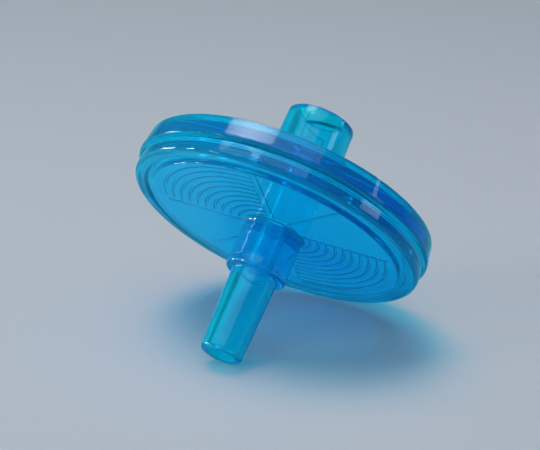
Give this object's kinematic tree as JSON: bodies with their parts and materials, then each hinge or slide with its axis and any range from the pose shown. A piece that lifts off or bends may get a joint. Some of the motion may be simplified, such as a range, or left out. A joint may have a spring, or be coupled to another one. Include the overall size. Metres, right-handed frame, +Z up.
{
  "type": "syringe filter",
  "caption": "Round disposable syringe filter: two welded clear blue mouldings round a membrane disc, with a female luer lock inlet and a male luer slip outlet.",
  "frame": {"origin": "on the table, under the middle of the filter as it lies", "axes": "+Z up, X along the level diameter of the disc, the outlet nozzle slopes down towards -Y"},
  "size_m": [0.029, 0.0234, 0.0233],
  "materials": {
    "clear_blue_plastic": "gloss",
    "membrane": "matte"
  },
  "bodies": {
    "root": {"inlet_housing": "clear_blue_plastic", "outlet_housing": "clear_blue_plastic", "membrane": "membrane"}
  },
  "joints": []
}
